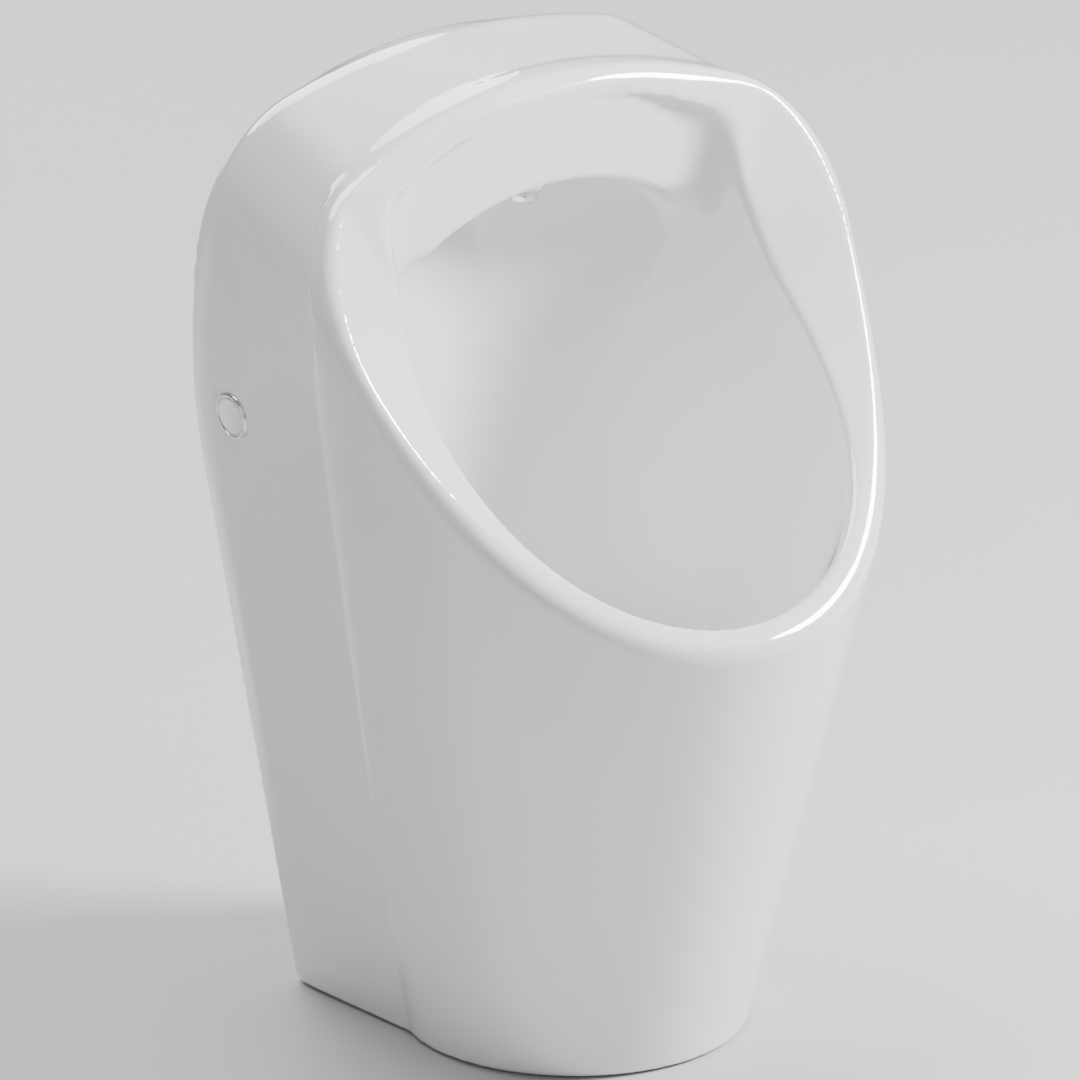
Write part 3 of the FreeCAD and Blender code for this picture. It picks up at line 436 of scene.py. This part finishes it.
def easeBrow(skin):
    # the forehead runs round into the bowl's sides in a soft curve
    group = skin.vertex_groups.new(name="brow")
    for vertex in skin.data.vertices:
        spot = vertex.co / millimetre
        beyond = max(browEnds["low"] - spot.z, 0, spot.z - browEnds["high"])
        away = Vector((abs(spot.x) - browEnds["across"], spot.y + browEnds["depth"], beyond)).length
        if away < browEnds["reach"]:
            group.add([vertex.index], (1 - (away / browEnds["reach"]) ** 2) ** 2, "REPLACE")
    melt(skin, browEnds["rounds"], group.name)
    skin.data = applied(skin)
    skin.modifiers.clear()
    skin.vertex_groups.clear()
    print("brow eased")


easeBrow(softPieces["glazed_skin"])


# Turned pieces: a closed outline of radii and heights in millimetres, spun round an axis
lathe = {
    "bevelSteps": 3,
    "bevelShare": 0.45,  # the most of a run that a bevel takes
    "sharp": math.radians(38.0),  # a steeper edge is shaded sharp
    "weld": 1e-7,  # metres
    "near": 0.01,  # radii this close are the same
    "run": 1000.0,  # longer than any side of an outline, so none is divided
    "sides": 72,
}


def roundOff(outline, bevel):
    done = []
    for at, point in enumerate(outline):
        corner = Vector(point)
        before = Vector(outline[at - 1]) - corner
        after = Vector(outline[(at + 1) % len(outline)]) - corner
        if corner.x == 0:  # a point on the axis stays
            done.append(corner)
            continue
        start = corner + before.normalized() * min(bevel, lathe["bevelShare"] * before.length)
        end = corner + after.normalized() * min(bevel, lathe["bevelShare"] * after.length)
        for step in range(lathe["bevelSteps"] + 1):
            share = step / lathe["bevelSteps"]
            done.append(start.lerp(corner, share).lerp(corner.lerp(end, share), share))
    return done


def divide(outline, run):
    done = []
    for point, following in zip(outline, outline[1:] + outline[:1]):
        count = math.ceil((following - point).length / run) if point.x or following.x else 1
        done += [point.lerp(following, step / count) for step in range(count)]
    return done


def seat(node, axis, side=0):
    # where a turned node stands: its axis as Z, and zero at its low end; side picks one of a pair by its X
    across = Vector((0, 1, 0)) if abs(axis.x) > 0.9 else Vector((1, 0, 0))
    across = (across - axis * across.dot(axis)).normalized()
    third = axis.cross(across)
    spots = [vertex.co for vertex in frame["nodes"][node].data.vertices if vertex.co.x * side >= 0]
    place = axis * min(spot.dot(axis) for spot in spots)
    for way in (across, third):
        reach = [spot.dot(way) for spot in spots]
        place += way * (min(reach) + max(reach)) / 2
    return Matrix.Translation(place) @ Matrix((across, third, axis)).transposed().to_4x4()


def spin(made, outline, sides, where, carve=None):
    # carve gives the new radius from a radius, a height and an angle
    rows = []
    for side in range(sides):
        angle = 2 * math.pi * side / sides
        row = []
        for point in outline:
            radius = carve(point.x, point.y, angle) if carve else point.x
            spot = Vector((radius * math.cos(angle), radius * math.sin(angle), point.y))
            row.append(made.verts.new(where @ (spot * millimetre)))
        rows.append(row)
    for side, row in enumerate(rows):
        following = rows[(side + 1) % sides]
        for at in range(len(outline)):
            onward = (at + 1) % len(outline)
            if outline[at].x or outline[onward].x:
                made.faces.new((row[at], following[at], following[onward], row[onward]))


def finishMesh(name, made):
    bmesh.ops.remove_doubles(made, verts=made.verts, dist=lathe["weld"])
    bmesh.ops.recalc_face_normals(made, faces=made.faces)
    mesh = bpy.data.meshes.new(name)
    made.to_mesh(mesh)
    made.free()
    mesh.polygons.foreach_set("use_smooth", [True] * len(mesh.polygons))
    mesh.set_sharp_from_angle(angle=lathe["sharp"])
    return mesh


def turn(name, node, outline, axis, sizes, carve=None, places=(0,)):
    # sizes is the piece's dictionary, whose run and sides go before the lathe's own
    settings = lathe | sizes
    made = bmesh.new()
    rounded = divide(roundOff(outline, settings["bevel"]), settings["run"])
    for side in places:
        spin(made, rounded, settings["sides"], seat(node, axis, side), carve)
    fit(name, finishMesh(name, made), node)


def take(sizes, names):
    return [sizes[name] for name in names.split()]


# Cuts that turn a round blank into a thread, a hexagon or a grip
def wave(turns):  # 0 at a crest, 1 at a root
    return abs(2 * (turns % 1.0) - 1)


def thread(crest, depth, pitch, low, high):
    def carve(radius, height, angle):
        if abs(radius - crest) > lathe["near"] or not low <= height <= high:
            return radius
        runOut = min(1.0, (height - low) / pitch, (high - height) / pitch)
        return radius - depth * runOut * wave(height / pitch - angle / (2 * math.pi))
    return carve


def hexagon(corner, core, low=-1.0, high=1000.0):
    flat = corner * math.cos(math.pi / 6)

    def carve(radius, height, angle):
        if radius <= core or not low <= height <= high:
            return radius
        return min(radius, flat / math.cos((angle % (math.pi / 3)) - math.pi / 6))
    return carve


def both(first, second):
    return lambda radius, height, angle: second(first(radius, height, angle), height, angle)


sideCap = {
    "radius": 14.0,
    "edge": 4.7,
    "stem": (5.4, 6.8),
    "stemLength": 3.3,
    "bead": (12.2, 13.2),
    "groove": 4.5,
    "grooveSlope": 0.3,
    "disc": 10.8,
    "crown": 5.7,
    "dome": 0.35,
    "domeSteps": 8,
    "bevel": 0.3,
}


def turnSideCaps():
    inner, outer = sideCap["stem"]
    low, high = sideCap["bead"]
    under, radius, edge, groove, slope = take(sideCap, "stemLength radius edge groove grooveSlope")
    disc, crown, steps = take(sideCap, "disc crown domeSteps")
    outline = [(0, under), (inner, under), (inner, 0), (outer, 0), (outer, under), (radius, under)]
    outline += [(radius, edge), (high, crown), (low, crown), (low - slope, groove), (disc + slope, groove)]
    for step in range(steps + 1):
        share = 1 - step / steps
        outline.append((disc * share, crown - sideCap["dome"] * share ** 2))
    for joint in frame["joints"]:
        if joint["child"].startswith("cap_"):
            side = joint["child"].split("_")[1]
            axis = Vector(joint["axis"]).normalized()
            turn("cap_cover_" + side, "side_cap_" + side, outline, axis, sideCap)


pair = (-1, 1)  # the left and the right one
hexagonNuts = {  # bores are radii, each with the height where it ends, from the top down
    "hexagon_nuts": {"node": "wall_nuts", "axis": intoWall, "corner": 7.5, "height": 6.5,
                     "bores": [(4.1, 0)], "core": 5.0, "bevel": 0.25, "places": pair},
    "inlet_union": {"node": "inlet_nut", "axis": intoWall, "corner": 15.0, "height": 14.0,
                    "bores": [(10.5, 6.5), (6.1, 0)], "core": 11.5, "bevel": 0.3, "places": (0,)},
    "spray_backnut": {"node": "spray_locknut", "axis": upward, "corner": 11.6, "height": 5.0,
                      "bores": [(7.1, 0)], "core": 8.0, "bevel": 0.25, "places": (0,)},
    "supply_union": {"node": "supply_nut", "axis": upward, "corner": 11.4, "height": 9.0,
                     "bores": [(6.6, 6.5), (7.1, 0)], "core": 8.0, "bevel": 0.3, "places": (0,)},
}
nutFace = {"over": 0.3, "slope": 0.55, "run": 0.5, "sides": 96}  # a nut's chamfers, and how finely it is cut


def turnHexagonNut(name):
    nut = hexagonNuts[name]
    corner, height = nut["corner"], nut["height"]
    edge = corner * (1 - math.cos(math.pi / 6)) + nutFace["over"]
    drop = edge * nutFace["slope"]
    outline = [(corner - edge, 0), (corner, drop), (corner, height - drop), (corner - edge, height)]
    top = height
    for radius, end in nut["bores"]:
        outline += [(radius, top), (radius, end)]
        top = end
    turn(name, nut["node"], outline, nut["axis"], nutFace | nut, hexagon(corner, nut["core"]), nut["places"])


wallStud = {
    "machine": 4.0,
    "wood": 5.0,
    "out": 22.0,  # machine thread in front of the wall
    "length": 87.0,
    "tip": 12.0,
    "point": 1.2,
    "pitch": (1.25, 3.6),
    "depth": (0.65, 1.3),
    "start": 0.3,
    "plain": (1.0, 6.0),  # shank without a thread, before and behind the wall's face
    "bevel": 0.5,
    "run": 0.2,
    "sides": 32,
}
wallWasher = {"bore": 4.1, "radius": 8.5, "height": 2, "bevel": 0.35, "sides": 64}


def turnWallFixings():
    machine, wood, out, length, point = take(wallStud, "machine wood out length point")
    taper = length - wallStud["tip"]
    outline = [(0, 0), (machine, 0), (machine, out), (wood, out), (wood, taper), (point, length), (0, length)]
    finePitch, coarsePitch = wallStud["pitch"]
    fineDepth, coarseDepth = wallStud["depth"]
    before, behind = wallStud["plain"]
    cuts = both(thread(machine, fineDepth, finePitch, wallStud["start"], out - before),
                thread(wood, coarseDepth, coarsePitch, out + behind, taper))
    turn("hanger_bolts", "wall_studs", outline, intoWall, wallStud, cuts, pair)
    bore, radius, height = take(wallWasher, "bore radius height")
    outline = [(bore, 0), (radius, 0), (radius, height), (bore, height)]
    turn("plate_washers", "wall_washers", outline, intoWall, wallWasher, places=pair)
    turnHexagonNut("hexagon_nuts")


inletFitting = {
    "thread": 10.4,
    "bore": 7.0,
    "length": 38,
    "lead": 1.8,  # chamfer at the wall end
    "collar": (4.6, 8),
    "corner": 14.0,
    "collarTop": 12.4,
    "collarChamfer": 0.6,
    "collarCore": 11.0,
    "pitch": 1.8,
    "depth": 1.0,
    "start": 0.5,
    "plain": (0.2, 0.4),  # shank without a thread, before and behind the collar
    "bevel": 0.25,
    "run": 0.25,
}


def turnInlet():
    crest, bore, length, lead = take(inletFitting, "thread bore length lead")
    corner, top, chamfer, depth, pitch = take(inletFitting, "corner collarTop collarChamfer depth pitch")
    low, high = inletFitting["collar"]
    before, behind = inletFitting["plain"]
    outline = [(bore, 0), (crest, 0), (crest, low), (top, low), (corner, low + chamfer)]
    outline += [(corner, high - chamfer), (top, high), (crest, high), (crest, length - lead)]
    outline += [(crest - lead, length), (bore, length)]
    cuts = both(thread(crest, depth, pitch, inletFitting["start"], low - before),
                thread(crest, depth, pitch, high + behind, length - lead))
    cuts = both(cuts, hexagon(corner, inletFitting["collarCore"], low, high))
    turn("inlet_fitting", "inlet_nipple", outline, intoWall, inletFitting, cuts)
    turnHexagonNut("inlet_union")


sprayHead = {
    "nozzle": 9.0,
    "lip": 0.6,
    "face": 0.9,  # how far the nibs' plate lies back
    "plate": (5.6, 6.2),
    "flange": 13.5,
    "flangeTop": 11.5,
    "bellLow": 0.8,
    "bellRise": 7.6,
    "bellCurve": 1.8,
    "bellSteps": 8,
    "shank": 7.0,
    "length": 33,
    "bore": 4.5,
    "floor": 2,
    "thread": (13.0, 32.5),
    "pitch": 1.25,
    "depth": 0.6,
    "bevel": 0.5,
    "run": 0.3,
    "sides": 64,
}
sprayNibs = {"count": 8, "ring": 3.2, "bore": 0.35, "tip": 0.65, "base": 0.95, "top": 0.95, "end": 0.1,
             "bevel": 0.12, "sides": 20}


def turnSprayHead():
    nozzle, flange, top, shank, bore = take(sprayHead, "nozzle flange flangeTop shank bore")
    face, length, floor = take(sprayHead, "face length floor")
    inner, outer = sprayHead["plate"]
    outline = [(0, face), (inner, face), (outer, 0), (nozzle - sprayHead["lip"], 0)]
    for step in range(sprayHead["bellSteps"] + 1):
        share = step / sprayHead["bellSteps"]
        outline.append((nozzle + (flange - nozzle) * share ** sprayHead["bellCurve"],
                        sprayHead["bellLow"] + sprayHead["bellRise"] * share))
    outline += [(flange, top), (shank, top), (shank, length), (bore, length), (bore, floor), (0, floor)]
    turn("spray_nozzle", "spray_head", outline, upward, sprayHead,
         thread(shank, sprayHead["depth"], sprayHead["pitch"], *sprayHead["thread"]))


def setSprayNibs():
    bore, tip, base, top, end = take(sprayNibs, "bore tip base top end")
    outline = roundOff([(bore, top), (bore, end), (tip, end), (base, top)], sprayNibs["bevel"])
    made = bmesh.new()
    outward = Matrix.Translation((sprayNibs["ring"] * millimetre, 0, 0))
    for nib in range(sprayNibs["count"]):
        around = Matrix.Rotation(2 * math.pi * nib / sprayNibs["count"], 4, "Z")
        spin(made, outline, sprayNibs["sides"], seat("spray_head", upward) @ around @ outward)
    nibs = addObject("spray_nibs", finishMesh("spray_nibs", made))
    nibs.data.materials.append(finishes["rubber"])
    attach(nibs, bodyOf["spray_head"])


drainFlange = {
    "sleeve": 32.0,
    "bore": 29.5,
    "rim": 43.0,
    "rimEdge": 2,  # width of the slope on the rim, and the height of its edge
    "under": 48,
    "shoulder": 51.6,
    "top": 52,
    "recess": 37.0,
    "recessTop": (1.5, 51.5),  # width of its rounded mouth, and where that starts
    "recessFloor": 49.5,
    "thread": (1.0, 44.0),
    "pitch": 2.4,
    "depth": 0.9,
    "bevel": 0.7,
    "run": 0.35,
    "sides": 96,
}
dipTube = {"radius": 27, "bore": 24.5, "collar": 36.7, "collarLow": 106, "length": 108, "bevel": 0.5,
           "sides": 96}


def turnDrain():
    sleeve, bore, rim, edge, under = take(drainFlange, "sleeve bore rim rimEdge under")
    shoulder, top, recess, floor = take(drainFlange, "shoulder top recess recessFloor")
    mouth, start = drainFlange["recessTop"]
    outline = [(bore, 0), (sleeve, 0), (sleeve, under), (rim, under), (rim, under + edge)]
    outline += [(rim - edge, shoulder), (recess + mouth, top), (recess, start), (recess, floor)]
    outline += [(bore, floor)]
    turn("drain_fitting", "drain_flange", outline, upward, drainFlange,
         thread(sleeve, drainFlange["depth"], drainFlange["pitch"], *drainFlange["thread"]))
    radius, bore, collar, low, length = take(dipTube, "radius bore collar collarLow length")
    outline = [(bore, 0), (radius, 0), (radius, low), (collar, low), (collar, length), (bore, length)]
    turn("dip_tube", "trap_insert", outline, upward, dipTube)


ringNut = {"radius": 47.0, "bore": 32.1, "height": 10, "core": 36, "notch": 5.0, "notches": 6, "bevel": 0.9,
           "run": 2.0, "sides": 216}


def turnRingNut():
    radius, bore, height = take(ringNut, "radius bore height")
    half = math.pi / ringNut["notches"]

    def notches(at, level, angle):  # round bites in the edge, for a hook key
        beside = (angle + half) % (2 * half) - half
        room = ringNut["notch"] ** 2 - (radius * math.sin(beside)) ** 2
        if room < 0 or at < ringNut["core"]:
            return at
        return min(at, radius * math.cos(beside) - math.sqrt(room))

    outline = [(bore, 0), (radius, 0), (radius, height), (bore, height)]
    turn("drain_backnut", "drain_locknut", outline, upward, ringNut, notches)


ribbedNuts = {  # node, axis, radius, height, bores below and above a step, the step, the ribs' ends
    "trap_union": ("trap_nut", upward, 43.1, 19.7, (37.1, 32.3), 18, (2.0, 17.5)),
    "outlet_union": ("outlet_nut", intoWall, 33.1, 20.5, (22.1, 27.1), 3.5, (3.0, 18.5)),
}
ribs = {"count": 28, "depth": 1.5, "fade": 1.5, "curve": 0.7, "core": 3.75, "facets": 8, "bevel": 0.9,
        "run": 1.0}


def turnRibbedNut(name, node, axis, radius, height, bores, step, reach):
    below, above = bores
    low, high = reach

    def grip(at, level, angle):  # hollows between the ribs, which fade out at both ends
        if at < radius - ribs["core"]:
            return at
        fade = max(0.0, min(1.0, (level - low) / ribs["fade"], (high - level) / ribs["fade"]))
        hollow = max(0.0, math.cos(ribs["count"] * angle)) ** ribs["curve"]
        return min(at, radius - ribs["depth"] * fade * hollow)

    outline = [(below, 0), (radius, 0), (radius, height), (above, height), (above, step), (below, step)]
    turn(name, node, outline, axis, ribs | {"sides": ribs["facets"] * ribs["count"]}, grip)


wastePipe = {
    "pipe": 25.0,
    "bore": 22.0,
    "length": 152,
    "lead": (1.2, 2),  # chamfer at the wall end
    "socket": 27.0,
    "socketBore": 22.1,
    "socketEnd": 24,
    "taper": 2,
    "bead": 27.5,
    "beadReach": (99, 102),
    "bevel": 0.6,
    "sides": 96,
}
wallCollar = {
    "radius": 31,
    "bore": 25.1,
    "neck": 9,
    "flange": 38,
    "height": 12,
    "pocket": 27.6,
    "pocketFloor": 8.9,
    "lipReach": (0.8, 8.6),
    "lipPitch": 2.4,
    "lipDepth": 1.1,
    "lipCore": 29,
    "bevel": 0.6,
    "run": 0.3,
    "sides": 96,
}


def turnOutlet():
    pipe, bore, length, bead, taper = take(wastePipe, "pipe bore length bead taper")
    socket, mouth, end = take(wastePipe, "socket socketBore socketEnd")
    narrower, lead = wastePipe["lead"]
    low, high = wastePipe["beadReach"]
    outline = [(mouth, 0), (socket, 0), (socket, end), (pipe, end + taper), (pipe, low), (bead, low)]
    outline += [(bead, high), (pipe, high), (pipe, length - lead), (pipe - narrower, length), (bore, length)]
    outline += [(bore, end), (mouth, end)]
    turn("waste_pipe", "outlet_pipe", outline, intoWall, wastePipe)


def turnWallCollar():
    radius, bore, neck, flange = take(wallCollar, "radius bore neck flange")
    height, pocket, floor = take(wallCollar, "height pocket pocketFloor")
    low, high = wallCollar["lipReach"]

    def lips(at, level, angle):  # soft ridges that seal in the wall's pipe
        if at < wallCollar["lipCore"] or not low < level < high:
            return at
        swing = 0.5 - 0.5 * math.cos(2 * math.pi * (level - low) / wallCollar["lipPitch"])
        return min(at, radius - wallCollar["lipDepth"] * swing)

    outline = [(bore, 0), (radius, 0), (radius, neck), (flange, neck), (flange, height), (pocket, height),
               (pocket, floor), (bore, floor)]
    turn("wall_collar", "outlet_wall_sleeve", outline, intoWall, wallCollar, lips)


turnSideCaps()
turnWallFixings()
turnInlet()
turnSprayHead()
setSprayNibs()
turnHexagonNut("spray_backnut")
turnHexagonNut("supply_union")
turnDrain()
turnRingNut()
for name, sizes in ribbedNuts.items():
    turnRibbedNut(name, *sizes)
turnOutlet()
turnWallCollar()
print("fittings made")


studio = {
    "floor": colour(0.60, 0.605, 0.605),
    "cloud": colour(0.57, 0.575, 0.58),
    "cloudSize": 0.4,
    "grainSize": 0.002,
    "grainRough": 0.1,
    "grainDepth": 0.0001,
    "grainStrength": 0.2,
    "rough": 0.6,
    "floorSize": 14.0,
    "gap": 0.0008,  # air under the base
    "world": colour(0.86, 0.87, 0.88),
    "worldStrength": 0.3,
    "lights": {  # place, size, power
        "key": ((2.3, -1.7, 1.7), 1.0, 290.0),
        "fill": ((-2.6, -1.6, 0.9), 2.2, 8.0),
        "top": ((-0.3, 0.5, 2.6), 1.6, 70.0),
        "back": ((0.9, 2.6, 1.2), 2.0, 50.0),
    },
}


def paleFloor():
    finish = Finish("pale floor")
    cloud = finish.noise(studio["cloudSize"], detail=4.0)
    grain = finish.noise(studio["grainSize"], detail=2.0)
    tone = cloud.blend(studio["floor"], studio["cloud"])
    rough = grain * studio["grainRough"] + studio["rough"]
    normal = finish.relief(grain, studio["grainDepth"], studio["grainStrength"])
    return finish.set({"Base Color": tone, "Roughness": rough, "Normal": normal})


def layFloor():
    half = studio["floorSize"] / 2
    level = bodyLow.z - studio["gap"]
    corners = [(x * half, y * half, level) for x, y in ((-1, -1), (1, -1), (1, 1), (-1, 1))]
    mesh = bpy.data.meshes.new("floor")
    mesh.from_pydata(corners, [], [(0, 1, 2, 3)])
    mesh.materials.append(paleFloor())
    floor = addObject("floor", mesh)


def setLights():
    middle = (bodyLow + bodyHigh) / 2
    for name, (place, size, power) in studio["lights"].items():
        light = bpy.data.lights.new(name, "AREA")
        light.shape = "DISK"
        light.size = size
        light.energy = power
        lamp = addObject(name, light)
        lamp.location = place
        lamp.rotation_euler = (Vector(place) - middle).to_track_quat("Z", "Y").to_euler()
    world = bpy.data.worlds.new("studio")
    world.use_nodes = True
    sky = world.node_tree.nodes["Background"]
    sky.inputs["Color"].default_value = studio["world"]
    sky.inputs["Strength"].default_value = studio["worldStrength"]
    bpy.context.scene.world = world
    print("studio set")


viewer = {
    "azimuth": -39.0,
    "elevation": 21.2,
    "frame": 0.62287,  # metres across the picture
    "right": 0.0683,  # the picture's middle, from the foot of the wall side
    "up": 0.2314,
    "lens": 1000.0,
    "sensor": 36.0,
    "clip": 4,  # times the distance
}


def setCamera():
    swing = math.radians(viewer["azimuth"])
    rise = math.radians(viewer["elevation"])
    back = Vector((math.sin(swing) * math.cos(rise), -math.cos(swing) * math.cos(rise), math.sin(rise)))
    right = Vector((math.cos(swing), math.sin(swing), 0))
    up = back.cross(right)
    foot = Vector((0, bodyHigh.y, bodyLow.z))
    target = foot + right * viewer["right"] + up * viewer["up"]
    away = viewer["frame"] * viewer["lens"] / viewer["sensor"]
    lens = bpy.data.cameras.new("viewer")
    lens.lens = viewer["lens"]
    lens.sensor_width = viewer["sensor"]
    lens.clip_end = viewer["clip"] * away
    camera = addObject("viewer", lens)
    facing = Matrix((right, up, back)).transposed().to_4x4()
    camera.matrix_world = Matrix.Translation(target + back * away) @ facing
    bpy.context.scene.camera = camera
    print("camera", round(away, 2), "m away")


layFloor()
setLights()
setCamera()
